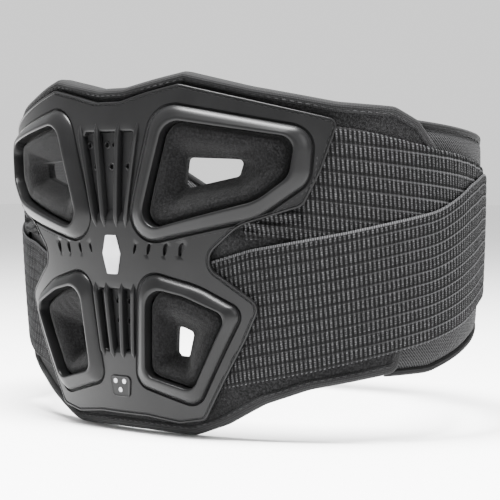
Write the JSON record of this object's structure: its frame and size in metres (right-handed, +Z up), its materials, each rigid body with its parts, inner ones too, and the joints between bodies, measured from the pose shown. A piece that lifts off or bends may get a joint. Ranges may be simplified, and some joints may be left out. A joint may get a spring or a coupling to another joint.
{
  "type": "kidney belt back protector",
  "caption": "Motocross kidney belt: vented moulded back shell on a padded waist ring, with ribbed elastic straps that close over the front panels.",
  "frame": {"origin": "centre of the waist ring, on its vertical axis, at mid height of the belt", "axes": "+Z up along the wearer's spine, -Y out through the back shell, +X to the wearer's right, so the front closure is at +Y"},
  "size_m": [0.3358, 0.2563, 0.2121],
  "materials": {
    "shell_plastic": "satin, fine grain",
    "badge_pale": "satin",
    "badge_dark": "satin",
    "vent_panel_plastic": "matte",
    "cup_velour": "soft brushed pile",
    "cover_cloth": "woven, matte",
    "foam": "closed-cell foam",
    "lining_mesh": "open mesh",
    "binding_tape": "ribbed tape",
    "piping": "smooth knit",
    "panel_mesh": "twill mesh",
    "inner_elastic": "ribbed elastic",
    "strap_elastic": "ribbed elastic",
    "loop_pile": "loop pile",
    "hook_tape": "moulded hooks",
    "tab_rubber": "matte, ribbed"
  },
  "bodies": {
    "root": {"back_shell": "shell_plastic", "centre_emblem": "badge_pale", "lower_emblem": "badge_dark", "spine_vent_panel_upper": "vent_panel_plastic", "spine_vent_panel_lower": "vent_panel_plastic", "vent_cup_upper_right": "cup_velour", "vent_cup_upper_left": "cup_velour", "vent_cup_lower_right": "cup_velour", "vent_cup_lower_left": "cup_velour", "back_cover": "cover_cloth", "foam_core": "foam", "inner_liner": "lining_mesh", "back_binding": "binding_tape", "side_panel_right": "panel_mesh", "side_panel_left": "panel_mesh", "side_piping_right": "piping", "side_piping_left": "piping", "inner_band_rear_right": "inner_elastic", "inner_band_rear_left": "inner_elastic", "strap_rear_right": "strap_elastic", "strap_rear_left": "strap_elastic"},
    "wing_right": {"front_panel_right": "panel_mesh", "front_piping_right": "piping", "inner_band_front_right": "inner_elastic", "strap_mid_right": "strap_elastic", "strap_landing_right": "loop_pile", "closure_hook_patch": "hook_tape"},
    "wing_left": {"front_panel_left": "panel_mesh", "front_piping_left": "piping", "inner_band_front_left": "inner_elastic", "strap_mid_left": "strap_elastic", "strap_landing_left": "loop_pile", "closure_loop_patch": "loop_pile"},
    "strap_right": {"strap_front_right": "strap_elastic", "pull_tab_right": "tab_rubber", "strap_hook_right": "hook_tape"},
    "strap_left": {"strap_front_left": "strap_elastic", "pull_tab_left": "tab_rubber", "strap_hook_left": "hook_tape"}
  },
  "joints": [
    {"name": "wing_right_fold", "type": "hinge", "parent": "root", "child": "wing_right", "pos_m": [0.15772, 0.03424, 0], "axis": [0, 0, -1], "range_deg": [0, 80]},
    {"name": "wing_left_fold", "type": "hinge", "parent": "root", "child": "wing_left", "pos_m": [-0.15772, 0.03424, 0], "axis": [0, 0, 1], "range_deg": [0, 40]},
    {"name": "strap_right_peel", "type": "hinge", "parent": "wing_right", "child": "strap_right", "pos_m": [0.13783, 0.06616, 0], "axis": [0, 0, -1], "range_deg": [0, 60]},
    {"name": "strap_left_peel", "type": "hinge", "parent": "wing_left", "child": "strap_left", "pos_m": [-0.13783, 0.06616, 0], "axis": [0, 0, 1], "range_deg": [0, 60]}
  ],
  "couplings": [
    {"joint": "wing_left_fold", "follows": "wing_right_fold", "ratio": 0.5}
  ]
}
